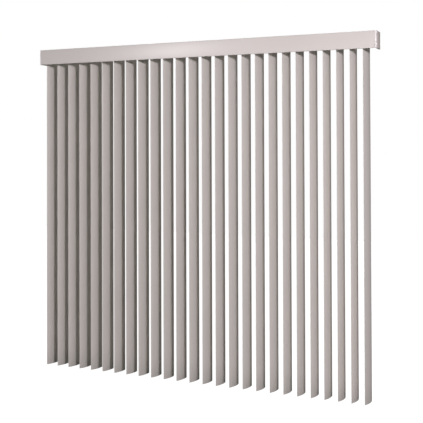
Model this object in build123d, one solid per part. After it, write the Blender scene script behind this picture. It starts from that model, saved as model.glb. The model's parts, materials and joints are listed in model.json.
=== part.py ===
from build123d import *
import math
import os

os.makedirs("parts", exist_ok=True)

# Vertical blind, in millimetres. The origin lies on the ceiling plane, above the line of vane pivots,
# at the middle of the valance. +X runs along the rail to the right, -Y faces the room and +Z is up.

# Vanes: curved strips that hang side by side
vane_count = 26
vane_pitch = 79.4
vane_width = 89
vane_crown = 8
vane_thickness = 0.9
vane_length = 1830
vane_top_drop = 51
vane_rest_turn = -17
vane_turn_lag = 6
vane_slot_width = 12
vane_slot_height = 4
vane_slot_margin = 6

# Rest places: the spacers are fully drawn out at one place along the row, and slacker away from it.
# The vanes' turn falls off from the control end to the lead end by the turn lag.
full_gap_share = 0.385
gap_slack_share = 0.41

# Fits and clearances
seat_gap = 0.2
run_gap = 0.3
shaft_gap = 0.1
cut_overrun = 1

# Headrail: a channel with a slot along its underside
rail_width = 38
rail_height = 28
rail_wall = 1.4
rail_slot = 14
rail_lip = 2.5
slot_rib_height = 1.6
slot_rib_thickness = 1.2

# Valance: a shallow channel in front of the rail, with a return at each end
valance_height = 87
valance_drop = 3
valance_wall = 2
valance_bead_height = 3
valance_bead_proud = 0.8
valance_depth = 8
valance_hook_wall = 1.6
valance_hook_reach = 2.5
valance_swing_gap = 13.5
stack_end_gap = 10.5
lead_end_gap = 14.5
corner_radius = 9
corner_wall = 5
corner_tongue_length = 12
corner_tongue_wall = 1.5

# Mounting clips: sheet steel, screwed up into the ceiling
mount_clip_count = 3
mount_clip_spacing = 800
mount_clip_length = 40
clip_wall = 1.5
clip_hook_reach = 2.1
clip_tab_reach = 19
clip_hole_radius = 2.3
clip_hole_spacing = 24
clip_hole_margin = 8

# Valance clips: moulded arms between the rail and the valance
valance_clip_count = 4
valance_clip_spacing = 560
valance_clip_length = 25
valance_clip_wall = 1.5
valance_clip_cap = 1.2
valance_clip_cap_reach = 8
valance_arm_drop = 9

# Carriers: rollers, a housing for the drive and a neck through the slot
stack_pitch = 16
carrier_length = 14
carrier_top_gap = 5.7
carrier_head_height = 10
carrier_front = 10
carrier_back = 14
carrier_waist_width = 17
carrier_waist_height = 6.5
carrier_neck_radius = 5.5
carrier_neck_height = 7
roller_radius = 4.4
roller_width = 4
roller_reach = 13.5
axle_radius = 1.5

# Spacer links: thin strips that lap over each other when the carriers are drawn together
link_thickness = 0.4
link_width = 3.2
link_inset = 2
link_overlap = 3
link_post_length = 4

# Tilt rod: a lobed bar that passes through every carrier
rod_back = 8.6
rod_sink = 4.7
rod_core_radius = 2.6
rod_lobe_radius = 0.9
rod_lobe_count = 4
rod_bore_gap = 0.5

# Drive wheel on the control end of the rod
sprocket_radius = 8
sprocket_width = 8
sprocket_pocket_radius = 1.6
sprocket_pocket_count = 10
sprocket_room = 0.5

# Vane stems: a toothed wheel, a shaft and a two-pronged hook
stem_radius = 3
stem_wheel_radius = 4.8
stem_wheel_root = 3.9
stem_wheel_teeth = 10
stem_wheel_height = 4.5
stem_chamber_gap = 0.8
stem_collar_radius = 4.5
stem_collar_height = 2.7
stem_head_width = 16
stem_head_gap = 2
stem_prong_wall = 1.8
stem_prong_length = 15
stem_prong_back_gap = 0.5
stem_pin_width = 8
stem_pin_height = 2.4

# End caps of the rail
control_cap_length = 20
idle_cap_length = 8
cap_plug_length = 12
cap_end_gap = 2
cap_side_wall = 4
cap_carrier_gap = 1

# Worked-out places. The end vanes need room to swing, and the end carriers need room for the caps.
half_chord = vane_width / 2
cap_room = valance_depth + cap_end_gap + cap_plug_length + cap_carrier_gap + carrier_length / 2
stack_margin = max(half_chord + stack_end_gap, control_cap_length + cap_room)
lead_margin = max(half_chord + lead_end_gap, idle_cap_length + cap_room)
gap_shares = [(2 * i + 1) / (2 * (vane_count - 1)) for i in range(vane_count - 1)]
gaps = [vane_pitch * (1 - gap_slack_share * (share - full_gap_share) ** 2) for share in gap_shares]
pivot_steps = [sum(gaps[:i]) for i in range(vane_count)]
pivot_span = pivot_steps[-1]
valance_length = stack_margin + pivot_span + lead_margin
valance_end = valance_length / 2
first_pivot = stack_margin - valance_end
valance_front = -(half_chord + valance_swing_gap + valance_depth)
valance_top = -valance_drop
valance_bottom = valance_top - valance_height
channel_back = valance_bead_proud + valance_wall

rail_top = -(clip_wall + seat_gap)
rail_bottom = rail_top - rail_height
rail_side = rail_width / 2
rail_lip_edge = rail_side + rail_lip
rail_lip_under = rail_top - rail_wall
rail_floor = rail_bottom + rail_wall
rail_ceiling = rail_top - rail_wall
rail_cap_end = valance_end - valance_depth - cap_end_gap
rail_start = control_cap_length - rail_cap_end
rail_end = rail_cap_end - idle_cap_length

carrier_top = rail_ceiling - carrier_top_gap
carrier_head_bottom = carrier_top - carrier_head_height
carrier_waist_bottom = carrier_head_bottom - carrier_waist_height
carrier_neck_bottom = carrier_waist_bottom - carrier_neck_height
roller_height = rail_floor + run_gap + roller_radius
rod_height = carrier_top - rod_sink
rod_reach = rod_core_radius - rod_lobe_radius / 2
rod_radius = rod_reach + rod_lobe_radius
wheel_bottom = carrier_head_bottom + stem_wheel_height / 2
vane_top = -vane_top_drop


def block(x_low, x_high, y_low, y_high, z_low, z_high):
    middle = Pos((x_low + x_high) / 2, (y_low + y_high) / 2, (z_low + z_high) / 2)
    return middle * Box(x_high - x_low, y_high - y_low, z_high - z_low)


def upright(radius, x, y, z_low, z_high):
    return Pos(x, y, (z_low + z_high) / 2) * Cylinder(radius, z_high - z_low)


def crosswise(radius, x, z, y_low, y_high):
    return Pos(x, (y_low + y_high) / 2, z) * Rot(90, 0, 0) * Cylinder(radius, y_high - y_low)


def lengthwise(radius, y, z, x_low, x_high):
    return Pos((x_low + x_high) / 2, y, z) * Rot(0, 90, 0) * Cylinder(radius, x_high - x_low)


def spread(count, spacing):
    return [(i - (count - 1) / 2) * spacing for i in range(count)]


def save(shape, name):
    export_step(shape, f"parts/{name}.step")


# The vane's section is an arc whose crest lies on the pivot line, with its hollow side towards -X
def make_vane():
    arc_radius = (half_chord**2 + vane_crown**2) / (2 * vane_crown)
    half_angle = math.asin(half_chord / arc_radius)

    def arc_point(radius, angle):
        return (radius * math.cos(angle) - arc_radius, radius * math.sin(angle))

    def arc(radius, start, end):
        return ThreePointArc(arc_point(radius, start), arc_point(radius, 0), arc_point(radius, end))

    outer = arc_radius + vane_thickness / 2
    inner = arc_radius - vane_thickness / 2
    crest_arc = arc(outer, -half_angle, half_angle)
    hollow_arc = arc(inner, half_angle, -half_angle)
    back_edge = Line(crest_arc @ 1, hollow_arc @ 0)
    front_edge = Line(hollow_arc @ 1, crest_arc @ 0)
    section = make_face([crest_arc, back_edge, hollow_arc, front_edge])
    strip = extrude(Pos(0, 0, vane_top) * section, amount=-vane_length)
    slot_middle = vane_top - vane_slot_margin - vane_slot_height / 2
    slot_plane = Plane(origin=(0, 0, slot_middle), x_dir=(0, 1, 0), z_dir=(1, 0, 0))
    slot_outline = slot_plane * SlotOverall(vane_slot_width, vane_slot_height)
    return strip - extrude(slot_outline, amount=vane_crown, both=True)


# The toothed wheel alternates between its root and tip radius
def make_stem_wheel():
    tooth_turn = math.tau / stem_wheel_teeth
    root_shares = (0, 0.3)
    tip_shares = (0.45, 0.85)
    corners = []
    for i in range(stem_wheel_teeth):
        for share in root_shares + tip_shares:
            radius = stem_wheel_root if share in root_shares else stem_wheel_radius
            angle = (i + share) * tooth_turn
            corners.append((radius * math.cos(angle), radius * math.sin(angle)))
    outline = make_face(Polyline(*corners, close=True))
    return extrude(Pos(0, 0, wheel_bottom + shaft_gap) * outline, amount=stem_wheel_height)


def make_stem():
    collar_top = carrier_neck_bottom - run_gap
    head_top = collar_top - stem_collar_height
    head_bottom = vane_top + stem_head_gap
    prong_bottom = head_bottom - stem_prong_length
    crest_face = vane_thickness / 2 + seat_gap
    hollow_face = -vane_thickness / 2 - stem_prong_back_gap
    front_side = crest_face + stem_prong_wall
    back_side = hollow_face - stem_prong_wall
    half_head = stem_head_width / 2
    half_pin = stem_pin_width / 2
    pin_top = vane_top - vane_slot_margin - shaft_gap
    stem = make_stem_wheel()
    stem += upright(stem_radius, 0, 0, head_top, wheel_bottom + stem_wheel_height)
    stem += upright(stem_collar_radius, 0, 0, head_top, collar_top)
    stem += block(back_side, front_side, -half_head, half_head, head_bottom, head_top)
    stem += block(crest_face, front_side, -half_head, half_head, prong_bottom, head_bottom)
    stem += block(back_side, hollow_face, -half_head, half_head, prong_bottom, head_bottom)
    stem += block(hollow_face, crest_face, -half_pin, half_pin, pin_top - stem_pin_height, pin_top)
    return stem


# A link climbs towards the next carrier, so that drawn links lie on each other like shingles
def make_link():
    climb = math.degrees(math.atan2(link_thickness + seat_gap, stack_pitch))
    middle = -carrier_front + link_inset
    post = block(
        -link_post_length / 2,
        link_post_length / 2,
        middle - link_width / 2,
        middle + link_width / 2,
        carrier_top,
        carrier_top + link_thickness,
    )
    reach = (vane_pitch + link_overlap) / math.cos(math.radians(climb))
    strip = block(0, reach, middle - link_width / 2, middle + link_width / 2, 0, link_thickness)
    return post + Pos(0, 0, carrier_top) * Rot(0, -climb, 0) * strip


def make_carrier(has_link):
    half_length = carrier_length / 2
    half_waist = carrier_waist_width / 2
    low = -half_length
    high = half_length
    carrier = block(low, high, -carrier_front, carrier_back, carrier_head_bottom, carrier_top)
    carrier += block(low, high, -half_waist, half_waist, carrier_waist_bottom, carrier_head_bottom)
    carrier += upright(carrier_neck_radius, 0, 0, carrier_neck_bottom, carrier_waist_bottom)
    carrier += crosswise(axle_radius, 0, roller_height, -roller_reach, roller_reach)
    carrier += crosswise(roller_radius, 0, roller_height, roller_reach - roller_width, roller_reach)
    carrier += crosswise(roller_radius, 0, roller_height, -roller_reach, roller_width - roller_reach)
    if has_link:
        carrier += make_link()
    chamber_radius = stem_wheel_radius + stem_chamber_gap
    carrier -= upright(chamber_radius, 0, 0, wheel_bottom, carrier_top + cut_overrun)
    carrier -= upright(stem_radius + shaft_gap, 0, 0, carrier_neck_bottom - cut_overrun, wheel_bottom)
    bore_radius = rod_radius + rod_bore_gap
    carrier -= lengthwise(bore_radius, rod_back, rod_height, low - cut_overrun, high + cut_overrun)
    return carrier


def make_headrail():
    cut_start = rail_start - cut_overrun
    cut_end = rail_end + cut_overrun
    inner_side = rail_side - rail_wall
    half_slot = rail_slot / 2
    rib_side = half_slot + slot_rib_thickness
    rib_top = rail_floor + slot_rib_height
    rail = block(rail_start, rail_end, -rail_side, rail_side, rail_bottom, rail_top)
    rail -= block(cut_start, cut_end, -inner_side, inner_side, rail_floor, rail_ceiling)
    rail += block(rail_start, rail_end, -rail_lip_edge, rail_lip_edge, rail_lip_under, rail_top)
    rail += block(rail_start, rail_end, -rib_side, rib_side, rail_floor, rib_top)
    rail -= block(
        cut_start, cut_end, -half_slot, half_slot, rail_bottom - cut_overrun, rib_top + cut_overrun
    )
    return rail


# A length of valance channel along X, with its face towards -Y at y = 0
def make_channel(start, end):
    lip_top = valance_top - valance_hook_wall
    lip_bottom = valance_bottom + valance_hook_wall
    hook_front = valance_depth - valance_hook_wall
    channel = block(start, end, valance_bead_proud, channel_back, valance_bottom, valance_top)
    channel += block(start, end, 0, channel_back, valance_top - valance_bead_height, valance_top)
    channel += block(start, end, 0, channel_back, valance_bottom, valance_bottom + valance_bead_height)
    channel += block(start, end, valance_bead_proud, valance_depth, lip_top, valance_top)
    channel += block(start, end, valance_bead_proud, valance_depth, valance_bottom, lip_bottom)
    channel += block(start, end, hook_front, valance_depth, lip_top - valance_hook_reach, lip_top)
    channel += block(start, end, hook_front, valance_depth, lip_bottom, lip_bottom + valance_hook_reach)
    return channel


def make_valance_front():
    half_strip = valance_end - corner_radius - seat_gap
    return Pos(0, valance_front, 0) * make_channel(-half_strip, half_strip)


def make_valance_returns():
    front_end = valance_front + corner_radius + seat_gap
    right = Pos(valance_end, 0, 0) * Rot(0, 0, 90) * make_channel(front_end, rail_side)
    return [right, mirror(right, Plane.YZ)]


# A corner is a quarter ring with a tongue in the front strip and one in the return
def make_valance_corners():
    ring_x = valance_end - corner_radius
    ring_y = valance_front + corner_radius
    tongue_low = valance_bottom + valance_hook_wall + run_gap
    tongue_high = valance_top - valance_hook_wall - run_gap
    tongue_face = channel_back + seat_gap
    tongue_back = tongue_face + corner_tongue_wall
    ring = upright(corner_radius, ring_x, ring_y, valance_bottom, valance_top)
    ring -= upright(
        corner_radius - corner_wall, ring_x, ring_y, valance_bottom - cut_overrun, valance_top + cut_overrun
    )
    right = ring & block(ring_x, valance_end, valance_front, ring_y, valance_bottom, valance_top)
    right += block(
        ring_x - corner_tongue_length,
        ring_x + cut_overrun,
        valance_front + tongue_face,
        valance_front + tongue_back,
        tongue_low,
        tongue_high,
    )
    right += block(
        valance_end - tongue_back,
        valance_end - tongue_face,
        ring_y - cut_overrun,
        ring_y + corner_tongue_length,
        tongue_low,
        tongue_high,
    )
    return [right, mirror(right, Plane.YZ)]


# A mounting clip grips both lips of the rail and reaches back to its screw holes
def make_mount_clip(x):
    low = x - mount_clip_length / 2
    high = x + mount_clip_length / 2
    leg_face = rail_lip_edge + seat_gap
    leg_back = leg_face + clip_wall
    hook_top = rail_lip_under - seat_gap
    hook_bottom = hook_top - clip_wall
    hook_edge = leg_face - clip_hook_reach
    tab_edge = leg_back + clip_tab_reach
    clip = block(low, high, -leg_back, tab_edge, -clip_wall, 0)
    for side in (-1, 1):
        legs = sorted((side * leg_face, side * leg_back))
        hooks = sorted((side * hook_edge, side * leg_back))
        clip += block(low, high, legs[0], legs[1], hook_bottom, 0)
        clip += block(low, high, hooks[0], hooks[1], hook_bottom, hook_top)
    for hole_x in spread(2, clip_hole_spacing):
        clip -= upright(
            clip_hole_radius, x + hole_x, tab_edge - clip_hole_margin, -clip_wall - cut_overrun, cut_overrun
        )
    return clip


# A valance clip grips the rail's front lip and stands inside the valance channel
def make_valance_clip(x):
    low = x - valance_clip_length / 2
    high = x + valance_clip_length / 2
    cap_low = rail_top + seat_gap
    cap_high = cap_low + valance_clip_cap
    jaw_back = -rail_lip_edge - seat_gap
    jaw_front = jaw_back - valance_clip_wall
    hook_top = rail_lip_under - seat_gap
    arm_top = -valance_arm_drop
    arm_bottom = arm_top - valance_clip_wall
    leg_front = valance_front + channel_back + seat_gap
    leg_back = leg_front + valance_clip_wall
    leg_top = valance_top - valance_hook_wall - run_gap
    leg_bottom = valance_bottom + valance_hook_wall + run_gap
    clip = block(low, high, jaw_front, jaw_back + valance_clip_cap_reach, cap_low, cap_high)
    clip += block(low, high, jaw_front, jaw_back, arm_bottom, cap_high)
    clip += block(low, high, jaw_front, jaw_back + clip_hook_reach, hook_top - valance_clip_wall, hook_top)
    clip += block(low, high, leg_front, jaw_back, arm_bottom, arm_top)
    clip += block(low, high, leg_front, leg_back, leg_bottom, leg_top)
    return clip


# Each cap covers the end of the rail and plugs into it, with a bearing for the rod
def make_cap_blank(outer, joint, plug_end):
    plug_side = rail_side - rail_wall - seat_gap
    plug_low = rail_floor + slot_rib_height + seat_gap
    plug_high = rail_ceiling - seat_gap
    cover = sorted((outer, joint))
    plug = sorted((joint, plug_end))
    cap = block(cover[0], cover[1], -rail_side, rail_side, rail_bottom, rail_top)
    cap += block(plug[0], plug[1], -plug_side, plug_side, plug_low, plug_high)
    return cap


def make_control_cap():
    outer = -rail_cap_end
    joint = rail_start - seat_gap
    cap = make_cap_blank(outer, joint, rail_start + cap_plug_length)
    cap -= lengthwise(
        rod_radius + shaft_gap,
        rod_back,
        rod_height,
        outer + cap_side_wall,
        rail_start + cap_plug_length + cut_overrun,
    )
    room_low = outer + cap_side_wall
    room_high = room_low + sprocket_width + 2 * sprocket_room
    room_radius = sprocket_radius + sprocket_room
    room_front = rod_back - room_radius
    room_back = rod_back + room_radius
    cap -= lengthwise(room_radius, rod_back, rod_height, room_low, room_high)
    cap -= block(room_low, room_high, room_front, room_back, rail_bottom - cut_overrun, rod_height)
    return cap


def make_idle_cap():
    joint = rail_end + seat_gap
    cap = make_cap_blank(rail_cap_end, joint, rail_end - cap_plug_length)
    cap -= lengthwise(
        rod_radius + shaft_gap,
        rod_back,
        rod_height,
        rail_end - cap_plug_length - cut_overrun,
        rail_cap_end - cap_side_wall,
    )
    return cap


def make_rod():
    start = cap_side_wall + seat_gap - rail_cap_end
    end = rail_cap_end - cap_side_wall - seat_gap
    section = Circle(rod_core_radius)
    for lobe in PolarLocations(rod_reach, rod_lobe_count):
        section += lobe * Circle(rod_lobe_radius)
    axis_plane = Plane(origin=(start, rod_back, rod_height), x_dir=(0, 1, 0), z_dir=(1, 0, 0))
    return extrude(axis_plane * section, amount=end - start)


def make_sprocket():
    start = cap_side_wall + sprocket_room - rail_cap_end
    axis_plane = Plane(origin=(start, rod_back, rod_height), x_dir=(0, 1, 0), z_dir=(1, 0, 0))
    section = Circle(sprocket_radius) - Circle(rod_radius)
    for pocket in PolarLocations(sprocket_radius, sprocket_pocket_count):
        section -= pocket * Circle(sprocket_pocket_radius)
    return extrude(axis_plane * section, amount=sprocket_width)


vane = make_vane()
stem = make_stem()
linked_carrier = make_carrier(True)
lead_carrier = make_carrier(False)
for i in range(vane_count):
    pivot = Pos(first_pivot + pivot_steps[i], 0, 0)
    turned = pivot * Rot(0, 0, vane_rest_turn + vane_turn_lag * i / (vane_count - 1))
    is_lead = i == vane_count - 1
    save(Compound([turned * vane, turned * stem]), f"vane_{i + 1:02d}")
    save(pivot * (lead_carrier if is_lead else linked_carrier), f"carrier_{i + 1:02d}")

save(make_headrail(), "headrail")
save(make_valance_front(), "valance_front")
save(Compound(make_valance_returns()), "valance_returns")
save(Compound(make_valance_corners()), "valance_corners")
mount_places = spread(mount_clip_count, mount_clip_spacing)
save(Compound([make_mount_clip(x) for x in mount_places]), "mounting_clips")
valance_clip_places = spread(valance_clip_count, valance_clip_spacing)
save(Compound([make_valance_clip(x) for x in valance_clip_places]), "valance_clips")
save(Compound([make_control_cap(), make_idle_cap()]), "rail_end_caps")
save(Compound([make_rod(), make_sprocket()]), "tilt_rod")
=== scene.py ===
import json
import math

import bmesh
import bpy
import numpy as np
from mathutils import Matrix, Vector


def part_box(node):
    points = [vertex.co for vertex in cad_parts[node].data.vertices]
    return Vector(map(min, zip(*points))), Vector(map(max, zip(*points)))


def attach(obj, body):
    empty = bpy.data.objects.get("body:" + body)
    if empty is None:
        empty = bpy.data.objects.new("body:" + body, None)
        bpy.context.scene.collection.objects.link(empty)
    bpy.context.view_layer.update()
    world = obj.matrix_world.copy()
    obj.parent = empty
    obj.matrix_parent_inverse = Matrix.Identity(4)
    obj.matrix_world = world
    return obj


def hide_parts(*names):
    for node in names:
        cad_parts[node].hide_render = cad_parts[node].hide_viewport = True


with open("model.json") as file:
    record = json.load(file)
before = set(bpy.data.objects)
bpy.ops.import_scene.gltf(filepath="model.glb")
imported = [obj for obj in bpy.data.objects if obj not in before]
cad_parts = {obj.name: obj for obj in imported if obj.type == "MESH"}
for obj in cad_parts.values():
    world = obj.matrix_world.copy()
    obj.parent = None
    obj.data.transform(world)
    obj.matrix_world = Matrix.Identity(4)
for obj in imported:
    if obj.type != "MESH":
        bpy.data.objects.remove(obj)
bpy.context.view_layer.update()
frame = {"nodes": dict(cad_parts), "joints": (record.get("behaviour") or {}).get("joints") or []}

mm = 0.001  # sizes below are written in millimetres and kept in metres
scene = bpy.context.scene
turnJoints = [joint for joint in frame["joints"] if joint["name"].endswith("_turn")]
pivots = {joint["child"]: np.array(joint["pos_m"]) for joint in turnJoints}
vaneBodies = sorted(body for body in pivots if body.startswith("vane_"))
print("frame loaded:", len(frame["nodes"]), "nodes,", len(vaneBodies), "vanes")


# Shared surface tools

# Each corner of a closed outline becomes an arc of its radius that is tangent to both sides.
# The arc swings evenly between the two radius vectors at its ends.
def roundCorners(corners, radii, steps=5):
    here = np.array(corners, float)
    radius = np.broadcast_to(np.asarray(radii, float), len(here))[:, None]
    before = np.roll(here, 1, axis=0) - here
    after = np.roll(here, -1, axis=0) - here
    before /= np.linalg.norm(before, axis=1, keepdims=True)
    after /= np.linalg.norm(after, axis=1, keepdims=True)
    halfAngle = np.arccos(np.clip((before * after).sum(1, keepdims=True), -1, 1)) / 2
    bisector = before + after
    bisector /= np.linalg.norm(bisector, axis=1, keepdims=True)
    centre = here + bisector * radius / np.sin(halfAngle)
    startArm = (here + before * radius / np.tan(halfAngle) - centre)[:, None, :]
    endArm = (here + after * radius / np.tan(halfAngle) - centre)[:, None, :]
    swing = (np.pi - 2 * halfAngle)[:, None, :]
    share = np.linspace(0, 1, steps)[None, :, None]
    arc = (np.sin((1 - share) * swing) * startArm + np.sin(share * swing) * endArm) / np.sin(swing)
    return (centre[:, None, :] + arc).reshape(-1, 2)


# Points are added along the straight runs of a closed outline, so that no step is much longer than
# the spacing
def resample(outline, spacing):
    closed = np.vstack([outline, outline[:1]])
    along = np.concatenate([[0], np.cumsum(np.linalg.norm(np.diff(closed, axis=0), axis=1))])
    even = np.linspace(0, along[-1], int(along[-1] / spacing) + 1)
    stops = np.unique(np.concatenate([along, even]).round(7))[:-1]
    return np.stack([np.interp(stops, along, closed[:, 0]), np.interp(stops, along, closed[:, 1])], -1)


# A closed outline moved in by a distance, along the mean normal of its two neighbouring sides
def moveIn(outline, distance):
    ahead = np.roll(outline, -1, axis=0)
    along = ahead - np.roll(outline, 1, axis=0)
    along /= np.linalg.norm(along, axis=1, keepdims=True)
    area = (outline[:, 0] * ahead[:, 1] - outline[:, 1] * ahead[:, 0]).sum()
    inwards = np.stack([-along[:, 1], along[:, 0]], -1) * np.sign(area)
    return outline + inwards * distance


# Quads between neighbouring closed rings of points, and one face on each end
def ringFaces(rings, count):
    here = np.arange(count)
    ahead = np.roll(here, -1)
    base = (np.arange(rings - 1) * count)[:, None]
    quads = np.stack([base + here, base + ahead, base + ahead + count, base + here + count], -1)
    return quads.reshape(-1, 4).tolist() + [here[::-1].tolist(), (here + (rings - 1) * count).tolist()]


# An outline carried along a straight axis: every station holds the outline, and the end stations
# draw in by the edge radius along a quarter circle. place turns (across, up, along) into points.
def sweepOutline(outline, start, end, place, edge=0.0, edgeSteps=4):
    quarter = np.linspace(0, np.pi / 2, edgeSteps) if edge else np.array([np.pi / 2])
    endGap = edge * (1 - np.cos(quarter))
    along = np.concatenate([start + endGap, (end - endGap)[::-1]])
    endDraw = edge * (1 - np.sin(quarter))
    rings = np.stack([moveIn(outline, d) for d in np.concatenate([endDraw, endDraw[::-1]])])
    points = place(rings[..., 0], rings[..., 1], np.broadcast_to(along[:, None], rings.shape[:2]))
    return points.reshape(-1, 3), ringFaces(len(along), len(outline))


# Circles stacked along an upright axis: each (radius, height) pair is one ring, and the radius is
# scaled round the ring by a share for each angle
def turnOutline(outline, turns=32, shares=1.0):
    angle = np.linspace(0, 2 * np.pi, turns, endpoint=False)
    radius = outline[:, :1] * np.broadcast_to(shares, turns)
    height = np.broadcast_to(outline[:, 1:], radius.shape)
    points = np.stack([radius * np.cos(angle), radius * np.sin(angle), height], -1)
    return points.reshape(-1, 3), ringFaces(len(outline), turns)


# A box whose four long edges are arcs and whose ends draw in by the same radius
def roundedBlock(low, high, edge, place):
    corners = [(low[0], low[1]), (high[0], low[1]), (high[0], high[1]), (low[0], high[1])]
    return sweepOutline(roundCorners(corners, edge), low[2], high[2], place, edge)


ringCrowding = 1.6  # above 1, the rings of a slotted panel crowd towards its slot
levelRay = 1e-9  # the least rise of a ray, so that a level one can be divided by


# A rectangle with a slot in it, as rings round the slot. Each ray from the slot's middle meets the
# slot's outline and the rectangle's, and the rings divide the way between them, finer near the slot.
# The first points of the outer ring run along the low side from left to right.
def slottedPanel(left, right, low, high, middle, slotLength, slotHeight, columns, sideRows, rings):
    sides = [
        np.stack([np.linspace(left, right, columns + 1)[:-1], np.full(columns, low)], -1),
        np.stack([np.full(sideRows, right), np.linspace(low, high, sideRows + 1)[:-1]], -1),
        np.stack([np.linspace(right, left, columns + 1)[:-1], np.full(columns, high)], -1),
        np.stack([np.full(sideRows, left), np.linspace(high, low, sideRows + 1)[:-1]], -1),
    ]
    outer = np.concatenate(sides)
    ray = outer - middle
    ray /= np.linalg.norm(ray, axis=1, keepdims=True)
    endRadius = slotHeight / 2
    core = slotLength / 2 - endRadius
    across, up = np.abs(ray[:, 0]), np.abs(ray[:, 1])
    toSide = endRadius / np.maximum(up, levelRay)
    toEnd = core * across + np.sqrt(np.maximum(endRadius**2 - (core * up) ** 2, 0))
    inner = middle + ray * np.where(toSide * across <= core, toSide, toEnd)[:, None]
    share = (np.linspace(0, 1, rings + 1) ** ringCrowding)[:, None, None]
    points = inner + (outer - inner) * share
    count = len(outer)
    here = np.arange(count)
    base = (np.arange(rings) * count)[:, None]
    ahead = np.roll(here, -1)
    quads = np.stack([base + here, base + here + count, base + ahead + count, base + ahead], -1)
    return points.reshape(-1, 2), quads.reshape(-1, 4), count


# Several (points, faces) shells as one
def joinShells(shells):
    starts = np.cumsum([0] + [len(points) for points, _ in shells[:-1]])
    faces = [[int(start) + i for i in face] for start, (_, own) in zip(starts, shells) for face in own]
    return np.vstack([points for points, _ in shells]), faces


# Faces are turned outwards, and edges sharper than the angle stay crisp
def addPiece(name, shell, material, body, replaced, sharpAngle=38):
    mesh = bpy.data.meshes.new(name)
    mesh.from_pydata(np.asarray(shell[0]).tolist(), [], shell[1])
    work = bmesh.new()
    work.from_mesh(mesh)
    bmesh.ops.recalc_face_normals(work, faces=work.faces)
    work.to_mesh(mesh)
    work.free()
    mesh.polygons.foreach_set("use_smooth", np.ones(len(mesh.polygons), bool))
    mesh.set_sharp_from_angle(angle=math.radians(sharpAngle))
    mesh.materials.append(material)
    piece = bpy.data.objects.new(name, mesh)
    scene.collection.objects.link(piece)
    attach(piece, body)
    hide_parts(replaced)
    return piece


# Finishes

toneEnds = (0.3, 0.7)  # where the noise reaches the darkest and the palest tone
roughEnds = (0.25, 0.75)  # where it reaches the smoothest and the roughest
driftShare = 0.5  # of the tone, and the rest is grain
noiseDetail = {"grain": 4, "drift": 2, "speck": 2}


# One layered finish. Grain is noise stretched along the direction in which the piece was drawn or
# rolled, drift is a slow change of tone, and speck is the fine tooth of the surface. Grain and drift
# set the tone, grain sets the roughness, and grain and speck set the bump.
def makeFinish(name, look):
    material = bpy.data.materials.new(name)
    material.use_nodes = True
    tree = material.node_tree
    shader = tree.nodes["Principled BSDF"]
    shader.inputs["Metallic"].default_value = look.get("metal", 0.0)
    shader.inputs["Specular IOR Level"].default_value = look.get("specular", 0.4)
    shader.inputs["Coat Weight"].default_value = look.get("coat", 0.0)
    shader.inputs["Coat Roughness"].default_value = look.get("coatRoughness", 0.3)

    def node(kind, **values):
        made = tree.nodes.new(kind)
        for key, value in values.items():
            setattr(made, key, value)
        return made

    def noise(scale, detail):
        made = node("ShaderNodeTexNoise")
        mapping = node("ShaderNodeMapping")
        mapping.inputs["Scale"].default_value = scale
        made.inputs["Scale"].default_value = 1.0
        made.inputs["Detail"].default_value = detail
        tree.links.new(coordinates.outputs["Object"], mapping.inputs["Vector"])
        tree.links.new(mapping.outputs["Vector"], made.inputs["Vector"])
        return made.outputs["Fac"]

    def blend(first, second, share):
        made = node("ShaderNodeMix")
        made.inputs["Factor"].default_value = share
        tree.links.new(first, made.inputs[2])
        tree.links.new(second, made.inputs[3])
        return made.outputs[0]

    coordinates = node("ShaderNodeTexCoord")
    grain = noise(look["grain"], noiseDetail["grain"])
    drift = noise((look["drift"],) * 3, noiseDetail["drift"])
    speck = noise((look["speck"],) * 3, noiseDetail["speck"])

    tone = node("ShaderNodeValToRGB")
    for end, position, sign in zip(tone.color_ramp.elements, toneEnds, (-1, 1)):
        end.position = position
        end.color = [c * (1 + sign * look["toneRange"]) for c in look["colour"]] + [1]
    tree.links.new(blend(grain, drift, driftShare), tone.inputs["Fac"])
    tree.links.new(tone.outputs["Color"], shader.inputs["Base Color"])

    rough = node("ShaderNodeMapRange")
    rough.inputs["From Min"].default_value, rough.inputs["From Max"].default_value = roughEnds
    rough.inputs["To Min"].default_value, rough.inputs["To Max"].default_value = look["roughness"]
    tree.links.new(grain, rough.inputs["Value"])
    tree.links.new(rough.outputs["Result"], shader.inputs["Roughness"])

    bump = node("ShaderNodeBump")
    bump.inputs["Strength"].default_value = look["bump"]
    bump.inputs["Distance"].default_value = look["relief"]
    tree.links.new(blend(grain, speck, look["speckShare"]), bump.inputs["Height"])
    tree.links.new(bump.outputs["Normal"], shader.inputs["Normal"])
    return material


vanePlastic = makeFinish("vanePlastic", {
    "colour": (0.721, 0.680, 0.640), "toneRange": 0.025, "drift": 5, "speck": 2200,
    "grain": (1100, 1100, 3), "roughness": (0.52, 0.62), "bump": 0.25, "relief": 0.05 * mm,
    "speckShare": 0.35, "specular": 0.7,
})
valancePlastic = makeFinish("valancePlastic", {
    "colour": (0.786, 0.740, 0.699), "toneRange": 0.018, "drift": 4, "speck": 2000,
    "grain": (3, 900, 900), "roughness": (0.33, 0.42), "bump": 0.2, "relief": 0.05 * mm,
    "speckShare": 0.3, "specular": 0.5,
})
# The returns are the same PVC as the valance face. Their colour is paler: painted light that makes up for
# the shade their side faces get.
returnPlastic = makeFinish("returnPlastic", {
    "colour": (0.865, 0.768, 0.730), "toneRange": 0.018, "drift": 4, "speck": 2000,
    "grain": (900, 3, 900), "roughness": (0.38, 0.50), "bump": 0.2, "relief": 0.05 * mm,
    "speckShare": 0.3, "specular": 0.4,
})
# The corners' colour is paler than the valance plastic: painted highlight for the bright strip that the
# light catches on their rounding.
cornerPlastic = makeFinish("cornerPlastic", {
    "colour": (0.930, 0.888, 0.865), "toneRange": 0.015, "drift": 40, "speck": 1500,
    "grain": (120, 120, 120), "roughness": (0.24, 0.32), "bump": 0.2, "relief": 0.04 * mm,
    "speckShare": 0.6, "specular": 0.45,
})
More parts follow.
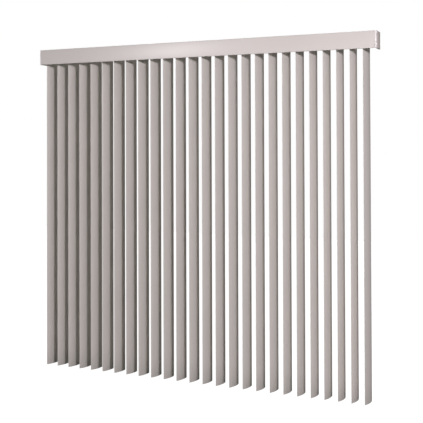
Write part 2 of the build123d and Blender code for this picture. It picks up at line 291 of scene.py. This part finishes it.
railCoat = makeFinish("railCoat", {
    "colour": (0.790, 0.775, 0.750), "toneRange": 0.012, "drift": 3, "speck": 1300,
    "grain": (420, 420, 420), "roughness": (0.40, 0.52), "bump": 0.45, "relief": 0.06 * mm,
    "speckShare": 0.35, "specular": 0.45,
})
rodAluminium = makeFinish("rodAluminium", {
    "colour": (0.740, 0.745, 0.755), "toneRange": 0.04, "drift": 9, "speck": 2500,
    "grain": (4, 2600, 2600), "roughness": (0.26, 0.42), "bump": 0.3, "relief": 0.03 * mm,
    "speckShare": 0.2, "metal": 1.0,
})
clipSteel = makeFinish("clipSteel", {
    "colour": (0.640, 0.640, 0.650), "toneRange": 0.09, "drift": 60, "speck": 2200,
    "grain": (30, 1800, 1800), "roughness": (0.28, 0.46), "bump": 0.3, "relief": 0.03 * mm,
    "speckShare": 0.4, "metal": 1.0,
})
carrierPlastic = makeFinish("carrierPlastic", {
    "colour": (0.820, 0.805, 0.770), "toneRange": 0.025, "drift": 90, "speck": 1800,
    "grain": (260, 260, 260), "roughness": (0.26, 0.38), "bump": 0.25, "relief": 0.04 * mm,
    "speckShare": 0.5, "specular": 0.5,
})
stemPlastic = makeFinish("stemPlastic", {
    "colour": (0.780, 0.770, 0.745), "toneRange": 0.03, "drift": 120, "speck": 1800,
    "grain": (300, 300, 90), "roughness": (0.20, 0.32), "bump": 0.2, "relief": 0.03 * mm,
    "speckShare": 0.5, "specular": 0.5, "coat": 0.15, "coatRoughness": 0.2,
})
clipPlastic = makeFinish("clipPlastic", {
    "colour": (0.830, 0.815, 0.790), "toneRange": 0.025, "drift": 70, "speck": 1700,
    "grain": (220, 220, 220), "roughness": (0.28, 0.40), "bump": 0.25, "relief": 0.04 * mm,
    "speckShare": 0.5, "specular": 0.5,
})
capPlastic = makeFinish("capPlastic", {
    "colour": (0.770, 0.750, 0.720), "toneRange": 0.02, "drift": 60, "speck": 1100,
    "grain": (500, 500, 500), "roughness": (0.48, 0.62), "bump": 0.5, "relief": 0.05 * mm,
    "speckShare": 0.6, "specular": 0.4,
})
print("finishes made")


# Vanes

vane = {
    "width": 89 * mm, "crown": 8 * mm, "thickness": 0.9 * mm,
    "top": -51 * mm, "length": 1830 * mm,
    "restTurn": -17, "turnLag": 6,  # degrees about the pivot, at the first vane and gained by the last
    "slotLength": 12 * mm, "slotHeight": 4 * mm, "slotMargin": 6 * mm,
    "panelHeight": 34 * mm, "columns": 24, "rows": 16, "sideRows": 8, "panelRings": 6, "edgeSteps": 5,
    "rimTolerance": 1e-7,  # metres, for telling which points lie on the sheet's rim
}


# A strip bent to an arc whose crest lies on the pivot line. A point of the flat sheet at distance s
# from the middle goes to angle s / R on a circle of radius R + offset, where R is the arc's radius and
# offset is the distance from the middle of the wall. The sheet has a face on each side of the wall,
# and round its rim and its slot the wall closes in a half circle.
def makeStrip():
    half = vane["width"] / 2
    arcRadius = (half**2 + vane["crown"] ** 2) / (2 * vane["crown"])
    halfWall = vane["thickness"] / 2
    reach = arcRadius * math.asin(half / arcRadius) - halfWall
    top = vane["top"] - halfWall
    bottom = vane["top"] - vane["length"] + halfWall
    panelLow = vane["top"] - vane["panelHeight"]
    slotMiddle = np.array([0.0, vane["top"] - vane["slotMargin"] - vane["slotHeight"] / 2])
    slotLength = vane["slotLength"] + vane["thickness"]
    slotHeight = vane["slotHeight"] + vane["thickness"]
    columns = vane["columns"]
    panel, panelQuads, count = slottedPanel(
        -reach, reach, panelLow, top, slotMiddle, slotLength, slotHeight,
        columns, vane["sideRows"], vane["panelRings"],
    )

    # below the panel: even rows down to the bottom edge, hung from the panel's low side
    rows = vane["rows"]
    levels = np.linspace(panelLow, bottom, rows + 1)[1:]
    across, down = np.meshgrid(np.linspace(-reach, reach, columns + 1), levels)
    flat = np.vstack([panel, np.stack([across.ravel(), down.ravel()], -1)])
    rim = np.arange(count) + vane["panelRings"] * count
    below = len(panel) + np.arange(rows * (columns + 1)).reshape(rows, -1)
    grid = np.vstack([rim[: columns + 1], below])
    gridQuads = np.stack([grid[1:, :-1], grid[1:, 1:], grid[:-1, 1:], grid[:-1, :-1]], -1)
    quads = np.vstack([panelQuads, gridQuads.reshape(-1, 4)])

    def bend(sheet, offset):
        angle = sheet[..., 0] / arcRadius
        radius = arcRadius + offset
        return np.stack([radius * np.cos(angle) - arcRadius, radius * np.sin(angle), sheet[..., 1]], -1)

    # the rim runs round the sheet from the bottom left corner, and the slot has a rim of its own
    outerRim = np.concatenate([grid[-1], grid[-2:0:-1, -1], rim[columns:], rim[:1], grid[1:-1, 0]])
    outerFlat = flat[outerRim]
    low, high = flat.min(0), flat.max(0)
    nearly = vane["rimTolerance"]
    outerWay = (outerFlat >= high - nearly).astype(float) - (outerFlat <= low + nearly)
    slotRim = np.arange(count)
    slotFlat = flat[slotRim]
    coreHalf = (slotLength - slotHeight) / 2
    coreAcross = np.clip(slotFlat[:, 0], -coreHalf, coreHalf)
    core = np.stack([coreAcross, np.full(count, slotMiddle[1])], -1)
    slotWay = (core - slotFlat) / np.linalg.norm(core - slotFlat, axis=1, keepdims=True)

    points = [bend(flat, halfWall), bend(flat, -halfWall)]
    faces = [quads, quads[:, ::-1] + len(flat)]
    start = 2 * len(flat)
    roundWall = np.linspace(0, np.pi, vane["edgeSteps"])[1:-1, None, None]
    for loop, loopFlat, way in ((outerRim, outerFlat, outerWay), (slotRim, slotFlat, slotWay)):
        roundFlat = loopFlat + way * halfWall * np.sin(roundWall)
        points.append(bend(roundFlat, halfWall * np.cos(roundWall[..., 0])).reshape(-1, 3))
        inner = start + np.arange(len(roundWall) * len(loop)).reshape(len(roundWall), -1)
        strips = np.vstack([loop, inner, loop + len(flat)])
        ahead = np.roll(strips, -1, axis=1)
        faces.append(np.stack([strips[:-1], strips[1:], ahead[1:], ahead[:-1]], -1).reshape(-1, 4))
        start += inner.size
    return np.vstack(points), np.vstack(faces).tolist()


# Stems

stem = {
    "shaftRadius": 3 * mm, "shaftTop": -12.05 * mm,
    "wheelRadius": 4.8 * mm, "wheelRoot": 3.9 * mm, "teeth": 10,
    "wheelTop": -11.95 * mm, "wheelHeight": 4.5 * mm,
    "collarRadius": 4.5 * mm, "collarTop": -32.6 * mm, "headTop": -35.3 * mm, "headBottom": -49 * mm,
    "headWidth": 16 * mm, "prongBottom": -64 * mm, "prongWall": 1.8 * mm,
    "crestFace": 0.65 * mm, "hollowFace": -0.95 * mm,
    "pinWidth": 8 * mm, "pinTop": -57.1 * mm, "pinHeight": 2.4 * mm,
    "edge": 0.5 * mm, "hookEdge": 0.4 * mm, "tipRadius": 3.5 * mm,
    "toothPoints": 12, "toothShares": (0, 0.3, 0.45, 0.85, 1),  # root, flank, tip, flank of a tooth
    "forkRadii": np.array([0.8, 0.6, 0.6, 0.3, 0.3, 0.6, 0.6, 0.8]) * mm, "forkSpacing": 0.7 * mm,
    "sharpAngle": 50,
}


# The shaft and collar are a turned outline. The wheel is a turned outline whose radius goes from root
# to tip and back over each tooth. The hook is a forked outline swept across the vane, narrowed at the
# shoulders and the prong tips by a quarter circle: its half width at a height is half of headWidth,
# less tipRadius, plus the circle's reach there.
def makeStem():
    edge, hookEdge = stem["edge"], stem["hookEdge"]
    shaftRadius, collarRadius = stem["shaftRadius"], stem["collarRadius"]
    shaftTop, collarTop, headTop = stem["shaftTop"], stem["collarTop"], stem["headTop"]
    shaft = np.array([
        (shaftRadius - edge, shaftTop), (shaftRadius, shaftTop - edge),
        (shaftRadius, collarTop + edge), (shaftRadius + edge / 2, collarTop),
        (collarRadius - edge, collarTop), (collarRadius, collarTop - edge),
        (collarRadius, headTop + edge), (collarRadius - edge, headTop),
    ])
    root, tip = stem["wheelRoot"], stem["wheelRadius"]
    turns = stem["teeth"] * stem["toothPoints"]
    toothPlace = (np.arange(turns) / stem["toothPoints"]) % 1
    tooth = np.interp(toothPlace, stem["toothShares"], (root, root, tip, tip, root)) / tip
    wheelTop = stem["wheelTop"]
    wheelLow = wheelTop - stem["wheelHeight"]
    wheel = np.array([
        (tip - edge / 2, wheelTop), (tip, wheelTop - edge / 2),
        (tip, wheelLow + edge / 2), (tip - edge / 2, wheelLow),
    ])
    hollow, crest = stem["hollowFace"], stem["crestFace"]
    back, front = hollow - stem["prongWall"], crest + stem["prongWall"]
    headBottom, prongBottom = stem["headBottom"], stem["prongBottom"]
    forkCorners = [
        (back, headTop), (back, prongBottom), (hollow, prongBottom), (hollow, headBottom),
        (crest, headBottom), (crest, prongBottom), (front, prongBottom), (front, headTop),
    ]
    fork = resample(roundCorners(forkCorners, stem["forkRadii"]), stem["forkSpacing"])

    def acrossVane(depth, up, along):
        toEnd = np.minimum(headTop - up, up - prongBottom)
        short = np.maximum(stem["tipRadius"] - toEnd, 0)
        narrow = stem["tipRadius"] - np.sqrt(np.maximum(stem["tipRadius"] ** 2 - short**2, 0))
        return np.stack([depth, along * (1 - narrow / (stem["headWidth"] / 2)), up], -1)

    hook = sweepOutline(fork, -stem["headWidth"] / 2, stem["headWidth"] / 2, acrossVane, hookEdge)
    pinLow = (hollow - edge, stem["pinTop"] - stem["pinHeight"], -stem["pinWidth"] / 2)
    pinHigh = (crest + edge, stem["pinTop"], stem["pinWidth"] / 2)
    pin = roundedBlock(pinLow, pinHigh, hookEdge, acrossVane)
    return joinShells([turnOutline(shaft), turnOutline(wheel, turns, tooth), hook, pin])


# A shell turned by an angle about the pivot line and moved to a pivot
def hang(shell, pivot, angle):
    cosine, sine = math.cos(angle), math.sin(angle)
    turn = np.array([[cosine, sine, 0], [-sine, cosine, 0], [0, 0, 1]])
    return shell[0] @ turn + np.array([pivot[0], pivot[1], 0]), shell[1]


stripShell = makeStrip()
stemShell = makeStem()
for i, body in enumerate(vaneBodies):
    angle = math.radians(vane["restTurn"] + vane["turnLag"] * i / (len(vaneBodies) - 1))
    strip = hang(stripShell, pivots[body], angle)
    stemHere = hang(stemShell, pivots[body], angle)
    addPiece(body + "_strip", strip, vanePlastic, body, body)
    addPiece(body + "_stem", stemHere, stemPlastic, body, body, stem["sharpAngle"])
print("vanes hung:", len(vaneBodies))


# Valance

valance = {
    "height": 87 * mm, "depth": 8 * mm, "wall": 2 * mm, "beadHeight": 3 * mm, "beadProud": 0.8 * mm,
    "hookWall": 1.6 * mm, "hookReach": 2.5 * mm, "cornerRadius": 9 * mm, "cornerWall": 5 * mm,
    "tongueLength": 12 * mm, "tongueWall": 1.5 * mm, "tongueLap": 1 * mm, "tongueEdge": 0.4 * mm,
    "seatGap": 0.2 * mm, "runGap": 0.3 * mm, "endEdge": 0.15 * mm, "endSteps": 3,
    "cornerEdges": np.array([0.6, 1.1, 1.1, 0.6]) * mm, "cornerStations": 25,
    "hookRadii": np.array([0.7, 1.1, 0.7, 0.6, 0.4, 0.4, 0.5]) * mm, "beadRadii": np.array([0.5, 0.5]) * mm,
}


# The section of the channel, from its face inwards and from its bottom edge up
def channelOutline():
    height, depth, proud = valance["height"], valance["depth"], valance["beadProud"]
    back = proud + valance["wall"]
    bead, lip = valance["beadHeight"], valance["hookWall"]
    hook = depth - lip
    reach = lip + valance["hookReach"]
    lowHalf = [(0, bead), (0, 0), (depth, 0), (depth, reach), (hook, reach), (hook, lip), (back, lip)]
    highHalf = [(a, height - b) for a, b in reversed(lowHalf)]
    corners = lowHalf + highHalf + [(proud, height - bead), (proud, bead)]
    hookRadii = valance["hookRadii"]
    return roundCorners(corners, np.concatenate([hookRadii, hookRadii[::-1], valance["beadRadii"]]))


frontLow, frontHigh = (np.array(corner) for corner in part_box("valance_front"))
returnsLow, returnsHigh = (np.array(corner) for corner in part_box("valance_returns"))
channel = channelOutline()


def alongFront(inwards, up, along):
    return np.stack([along, frontLow[1] + inwards, frontLow[2] + up], -1)


def alongReturn(side):
    def place(inwards, up, along):
        return np.stack([side * (returnsHigh[0] - inwards), along, returnsLow[2] + up], -1)

    return place


stripEnd = (valance["endEdge"], valance["endSteps"])
frontStrip = sweepOutline(channel, frontLow[0], frontHigh[0], alongFront, *stripEnd)
returnStrips = [
    sweepOutline(channel, returnsLow[1], returnsHigh[1], alongReturn(side), *stripEnd)
    for side in (-1, 1)
]
addPiece("valance_front_strip", frontStrip,
         valancePlastic, "rail", "valance_front")
# the returns take the paler copy of the valance plastic, whose colour carries painted light
addPiece("valance_return_strips", joinShells(returnStrips),
         returnPlastic, "rail", "valance_returns")


# A corner is the section of the ring swept through a quarter turn, and its two tongues are
# rounded blocks
def makeCorner(side):
    radius, wall = valance["cornerRadius"], valance["cornerWall"]
    low, high = frontLow[2], frontHigh[2]
    centre = np.array([returnsHigh[0] - radius, frontLow[1] + radius])
    sectionCorners = [(radius - wall, low), (radius, low), (radius, high), (radius - wall, high)]
    section = roundCorners(sectionCorners, valance["cornerEdges"])

    def roundRing(out, up, angle):
        across = side * (centre[0] + out * np.sin(angle))
        return np.stack([across, centre[1] - out * np.cos(angle), up], -1)

    quarter = np.linspace(0, np.pi / 2, valance["cornerStations"])
    rings = np.broadcast_to(section, (len(quarter), *section.shape))
    ring = roundRing(rings[..., 0], rings[..., 1], np.broadcast_to(quarter[:, None], rings.shape[:2]))
    face = valance["beadProud"] + valance["wall"] + valance["seatGap"]
    back = face + valance["tongueWall"]
    tongueLow = low + valance["hookWall"] + valance["runGap"]
    tongueHigh = high - valance["hookWall"] - valance["runGap"]
    reach, lap, edge = valance["tongueLength"], valance["tongueLap"], valance["tongueEdge"]
    frontTongue = roundedBlock(
        (face, tongueLow, centre[0] - reach), (back, tongueHigh, centre[0] + lap), edge,
        lambda inwards, up, along: np.stack([side * along, frontLow[1] + inwards, up], -1))
    returnTongue = roundedBlock(
        (face, tongueLow, centre[1] - lap), (back, tongueHigh, centre[1] + reach), edge,
        lambda inwards, up, along: np.stack([side * (returnsHigh[0] - inwards), along, up], -1))
    return [(ring.reshape(-1, 3), ringFaces(len(quarter), len(section))), frontTongue, returnTongue]


# the corner pair takes the whitened plastic, whose colour carries a painted highlight
addPiece("valance_corner_pair", joinShells(makeCorner(-1) + makeCorner(1)),
         cornerPlastic, "rail", "valance_corners")
print("valance made")


# Headrail and the clips that hold it

rail = {
    "wall": 1.4 * mm, "slot": 14 * mm, "lip": 2.5 * mm,
    "ribHeight": 1.6 * mm, "ribThickness": 1.2 * mm,
    "halfRadii": np.array([0.5, 0.5, 0.3, 0.4, 0.4, 0.4, 1.0, 0.4, 0.5, 0.6]) * mm,
}
railLow, railHigh = (np.array(corner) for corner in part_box("headrail"))


def alongRail(across, up, along):
    return np.stack([along, across, up], -1)


# The section is drawn for the back half from the slot to the crown, and mirrored
def makeRail():
    lipEdge, top, bottom = railHigh[1], railHigh[2], railLow[2]
    side = lipEdge - rail["lip"]
    inner = side - rail["wall"]
    slotEdge = rail["slot"] / 2
    ribEdge = slotEdge + rail["ribThickness"]
    floor = bottom + rail["wall"]
    ribTop = floor + rail["ribHeight"]
    under = top - rail["wall"]
    half = [(inner, under), (inner, floor), (ribEdge, floor), (ribEdge, ribTop), (slotEdge, ribTop),
            (slotEdge, bottom), (side, bottom), (side, under), (lipEdge, under), (lipEdge, top)]
    corners = half + [(-a, b) for a, b in reversed(half)]
    outline = roundCorners(corners, np.concatenate([rail["halfRadii"], rail["halfRadii"][::-1]]))
    return sweepOutline(outline, railLow[0], railHigh[0], alongRail)


addPiece("headrail_channel", makeRail(), railCoat, "rail", "headrail")

mountClip = {
    "places": (-800 * mm, 0.0, 800 * mm), "length": 40 * mm, "wall": 1.5 * mm, "seatGap": 0.2 * mm,
    "hookReach": 2.1 * mm, "tabReach": 19 * mm,
    "holeRadius": 2.3 * mm, "holeSpacing": 24 * mm, "holeMargin": 8 * mm,
    "edge": 0.2 * mm, "edgeSteps": 3, "columns": 10, "sideRows": 10, "panelRings": 5,
    "halfRadii": np.array([0.4, 0.4, 1.2, 0.7]) * mm, "insideRadii": np.array([0.4, 0.6, 0.6, 0.4]) * mm,
}


# The grip is a bent section swept along the rail. The tab behind it is two slotted panels side by side,
# each with a round hole: a top and a bottom sheet joined round the rim and through the hole.
def makeMountClip(place):
    wall, gap = mountClip["wall"], mountClip["seatGap"]
    face = railHigh[1] + gap
    back = face + wall
    hookTop = railHigh[2] - rail["wall"] - gap
    hookLow = hookTop - wall
    hookEdge = face - mountClip["hookReach"]
    half = [(hookEdge, hookTop), (hookEdge, hookLow), (back, hookLow), (back, 0.0)]
    inside = [(face, hookTop), (face, -wall)]
    corners = half + [(-a, b) for a, b in reversed(half)] + [(-a, b) for a, b in inside] + inside[::-1]
    halfRadii = mountClip["halfRadii"]
    radii = np.concatenate([halfRadii, halfRadii[::-1], mountClip["insideRadii"]])
    low, high = place - mountClip["length"] / 2, place + mountClip["length"] / 2
    outline = roundCorners(corners, radii)
    grip = sweepOutline(outline, low, high, alongRail, mountClip["edge"], mountClip["edgeSteps"])

    tabEdge = back + mountClip["tabReach"]
    holeDepth = tabEdge - mountClip["holeMargin"]
    holeDiameter = 2 * mountClip["holeRadius"]
    heights = np.array([0.0, -wall])[:, None]
    shells = [grip]
    for side in (-1, 1):
        near, far = sorted((place, place + side * mountClip["length"] / 2))
        middle = np.array([place + side * mountClip["holeSpacing"] / 2, holeDepth])
        sheet, quads, count = slottedPanel(
            near, far, back - wall, tabEdge, middle, holeDiameter, holeDiameter,
            mountClip["columns"], mountClip["sideRows"], mountClip["panelRings"],
        )
        sheetPair = np.broadcast_to(sheet, (2, *sheet.shape))
        levels = np.broadcast_to(heights, (2, len(sheet)))[..., None]
        points = np.concatenate([sheetPair, levels], -1).reshape(-1, 3)
        loops = np.stack([np.arange(count), np.arange(count) + len(sheet) - count])
        ahead = np.roll(loops, -1, axis=1)
        walls = np.stack([loops, ahead, ahead + len(sheet), loops + len(sheet)], -1).reshape(-1, 4)
        shells.append((points, np.vstack([quads, quads[:, ::-1] + len(sheet), walls]).tolist()))
    return shells


mountShells = [shell for place in mountClip["places"] for shell in makeMountClip(place)]
addPiece("mounting_clip_set", joinShells(mountShells),
         clipSteel, "rail", "mounting_clips")

valanceClip = {
    "places": (-840 * mm, -280 * mm, 280 * mm, 840 * mm), "length": 25 * mm, "wall": 1.5 * mm,
    "cap": 1.2 * mm, "capReach": 8 * mm, "hookReach": 2.1 * mm, "armDrop": 9 * mm,
    "seatGap": 0.2 * mm, "runGap": 0.3 * mm, "edge": 0.3 * mm,
    "lowRadii": np.array([0.5, 0.5, 1.5, 0.8, 0.5, 0.5, 0.5, 0.3]) * mm,  # up to the rail's lip
    "highRadii": np.array([0.3, 0.4, 0.4, 0.8, 1.5, 1.2, 0.5, 0.5]) * mm,  # and on from there
}


# One moulded section swept along the rail: a jaw round the rail's front lip, an arm, and a leg in
# the valance's channel
def makeValanceClip(place):
    wall, gap = valanceClip["wall"], valanceClip["seatGap"]
    capLow = railHigh[2] + gap
    capHigh = capLow + valanceClip["cap"]
    jawBack = railLow[1] - gap
    jawFront = jawBack - wall
    hookTop = railHigh[2] - rail["wall"] - gap
    armTop = -valanceClip["armDrop"]
    legFront = frontLow[1] + valance["beadProud"] + valance["wall"] + gap
    legBack = legFront + wall
    legTop = frontHigh[2] - valance["hookWall"] - valanceClip["runGap"]
    legLow = frontLow[2] + valance["hookWall"] + valanceClip["runGap"]
    hookEdge = jawBack + valanceClip["hookReach"]
    capEdge = jawBack + valanceClip["capReach"]
    corners = [
        (legFront, legLow), (legBack, legLow), (legBack, armTop - wall), (jawBack, armTop - wall),
        (jawBack, hookTop - wall), (hookEdge, hookTop - wall), (hookEdge, hookTop), (jawBack, hookTop),
        (jawBack, capLow), (capEdge, capLow), (capEdge, capHigh), (jawFront, capHigh),
        (jawFront, armTop), (legBack, armTop), (legBack, legTop), (legFront, legTop),
    ]
    radii = np.concatenate([valanceClip["lowRadii"], valanceClip["highRadii"]])
    outline = roundCorners(corners, radii)
    low, high = place - valanceClip["length"] / 2, place + valanceClip["length"] / 2
    return sweepOutline(outline, low, high, alongRail, valanceClip["edge"])


clipShells = [makeValanceClip(place) for place in valanceClip["places"]]
addPiece("valance_clip_set", joinShells(clipShells),
         clipPlastic, "rail", "valance_clips")
print("rail and clips made")


# Tilt rod

rod = {
    "coreRadius": 2.6 * mm, "lobeRadius": 0.9 * mm, "lobes": 4, "points": 96,
    "wheelRadius": 8 * mm, "wheelWidth": 8 * mm, "wheelStart": 0.3 * mm,
    "wheelEdge": 0.3 * mm, "wheelEdgeSteps": 3,
    "pocketRadius": 1.6 * mm, "pockets": 10, "pocketPoints": 24,
}


# The bar's radius round its axis is the larger of the core's and the reach of the nearest lobe's
# circle. The wheel's radius dips into a pocket where its rim meets the pocket's circle.
def makeRod():
    low, high = (np.array(corner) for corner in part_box("tilt_rod"))
    axis = pivots["rod"]
    angle = np.linspace(0, 2 * np.pi, rod["points"], endpoint=False)
    lobeOut = rod["coreRadius"] - rod["lobeRadius"] / 2
    lobeTurn = 2 * np.pi / rod["lobes"]
    off = (angle + lobeTurn / 2) % lobeTurn - lobeTurn / 2
    inLobe = np.maximum(rod["lobeRadius"] ** 2 - (lobeOut * np.sin(off)) ** 2, 0)
    lobe = np.where(inLobe > 0, lobeOut * np.cos(off) + np.sqrt(inLobe), 0)
    barRadius = np.maximum(rod["coreRadius"], lobe)

    pocketTurn = 2 * np.pi / rod["pockets"]
    fine = np.linspace(0, 2 * np.pi, rod["pockets"] * rod["pocketPoints"], endpoint=False)
    off = (fine + pocketTurn / 2) % pocketTurn - pocketTurn / 2
    inPocket = np.maximum(rod["pocketRadius"] ** 2 - (rod["wheelRadius"] * np.sin(off)) ** 2, 0)
    dip = rod["wheelRadius"] * np.cos(off) - np.sqrt(inPocket)
    wheelRadius = np.where(inPocket > 0, np.minimum(dip, rod["wheelRadius"]), rod["wheelRadius"])

    def alongRod(across, up, along):
        return np.stack([along, axis[1] + across, axis[2] + up], -1)

    bar = np.stack([barRadius * np.cos(angle), barRadius * np.sin(angle)], -1)
    wheel = np.stack([wheelRadius * np.cos(fine), wheelRadius * np.sin(fine)], -1)
    start = low[0] + rod["wheelStart"]
    end = start + rod["wheelWidth"]
    return joinShells([
        sweepOutline(bar, low[0], high[0], alongRod),
        sweepOutline(wheel, start, end, alongRod, rod["wheelEdge"], rod["wheelEdgeSteps"]),
    ])


addPiece("tilt_rod_bar", makeRod(), rodAluminium, "rod", "tilt_rod")

# pieces whose packed form is right keep it and get their finish
for name, node in frame["nodes"].items():
    if name.startswith("carrier_") or name == "rail_end_caps":
        node.data.materials.clear()
        node.data.materials.append(capPlastic if name == "rail_end_caps" else carrierPlastic)
print("rod made, carriers and caps finished")


# Studio

studio = {
    "floorLevel": -6.0, "floorSize": 80.0, "floorTone": 0.9, "floorRoughness": 0.9, "floorGlow": 1.0,
    "ambient": 0.078, "ambientColour": (0.95, 1.0, 0.93), "lampColour": (1.0, 0.952, 0.995),
}

# The key, near and middle lights are turned away from the near vanes, so that near and far ones get
# as much of them. The fill gives the valance its sheen. The side light reaches the last vane and only
# the front edges of the others, and the back and left lights reach the vanes' hollows.
lights = {
    "key": {"place": (4.6, -4.4, 0.85), "way": (-0.88, -0.10, -0.47), "size": 0.5, "power": 148.0},
    "near": {"place": (2.6, -2.9, 0.60), "way": (-0.55, 0.20, -0.81), "size": 0.3, "power": 42.0},
    "middle": {"place": (3.6, -2.6, 0.55), "way": (-0.74, 0.16, -0.66), "size": 0.3, "power": 26.0},
    "fill": {"place": (-3.9, -7.0, 0.9), "way": (0.94, 0.34, -0.10), "size": 1.2, "power": 318.0},
    "side": {"place": (6.0, -1.8, -0.4), "way": (-1.0, 0.3, -0.1), "size": 1.5, "power": 25.0},
    "back": {"place": (-3.0, 5.5, 1.4), "way": (0.46, -0.84, -0.30), "size": 3.0, "power": 90.0,
             "colour": (0.97, 1.0, 0.95)},
    "left": {"place": (-5.5, 1.2, 0.4), "way": (1.0, -0.22, -0.25), "size": 2.0, "power": 55.0},
}
for name, look in lights.items():
    light = bpy.data.lights.new(name + "Light", "AREA")
    light.shape = "DISK"
    light.size = look["size"]
    light.energy = look["power"]
    light.color = look.get("colour", studio["lampColour"])
    lamp = bpy.data.objects.new(name + "Light", light)
    lamp.visible_camera = False
    way = look["way"]
    flatLength = math.hypot(way[0], way[1])
    lamp.location = look["place"]
    heading = math.atan2(way[1], way[0]) - math.pi / 2
    lamp.rotation_euler = (math.atan2(flatLength, -way[2]), 0, heading)
    scene.collection.objects.link(lamp)

# the air is white behind the object and dimmer as a source of light
world = bpy.data.worlds.new("studioAir")
world.use_nodes = True
scene.world = world
air = world.node_tree
ambient = air.nodes["Background"]
ambient.inputs["Color"].default_value = (*studio["ambientColour"], 1)
ambient.inputs["Strength"].default_value = studio["ambient"]
backdrop = air.nodes.new("ShaderNodeBackground")
backdrop.inputs["Color"].default_value = (1, 1, 1, 1)
lightPath = air.nodes.new("ShaderNodeLightPath")
choose = air.nodes.new("ShaderNodeMixShader")
air.links.new(lightPath.outputs["Is Camera Ray"], choose.inputs["Fac"])
air.links.new(ambient.outputs["Background"], choose.inputs[1])
air.links.new(backdrop.outputs["Background"], choose.inputs[2])
air.links.new(choose.outputs["Shader"], air.nodes["World Output"].inputs["Surface"])

# a wide pale floor, which lights nothing
floorMesh = bpy.data.meshes.new("floor")
side = studio["floorSize"] / 2
level = studio["floorLevel"]
floorCorners = [(-side, -side, level), (side, -side, level), (side, side, level), (-side, side, level)]
floorMesh.from_pydata(floorCorners, [], [(0, 1, 2, 3)])
floor = bpy.data.objects.new("floor", floorMesh)
scene.collection.objects.link(floor)
paleFloor = bpy.data.materials.new("paleFloor")
paleFloor.use_nodes = True
floorShader = paleFloor.node_tree.nodes["Principled BSDF"]
floorShader.inputs["Base Color"].default_value = (*[studio["floorTone"]] * 3, 1)
floorShader.inputs["Roughness"].default_value = studio["floorRoughness"]
floorShader.inputs["Emission Color"].default_value = (1, 1, 1, 1)
floorShader.inputs["Emission Strength"].default_value = studio["floorGlow"]
floorMesh.materials.append(paleFloor)
floor.visible_diffuse = False
floor.visible_glossy = False

# the camera looks up a little, and its shift puts the horizon where the picture has it
view = {
    "place": (1.8206, -4.0119, -0.5678),
    "pitch": 0.754, "roll": 0.183, "turn": 23.423,  # degrees
    "lens": 67.466, "sensor": 36, "shift": -0.1841, "clipEnd": 200,
}
cameraData = bpy.data.cameras.new("camera")
cameraData.sensor_width = view["sensor"]
cameraData.lens = view["lens"]
cameraData.shift_y = view["shift"]
cameraData.clip_end = view["clipEnd"]
camera = bpy.data.objects.new("camera", cameraData)
camera.location = view["place"]
tilt = (90 + view["pitch"], view["roll"], view["turn"])
camera.rotation_euler = [math.radians(angle) for angle in tilt]
scene.collection.objects.link(camera)
scene.camera = camera
scene.view_settings.view_transform = "Standard"
print("studio set")
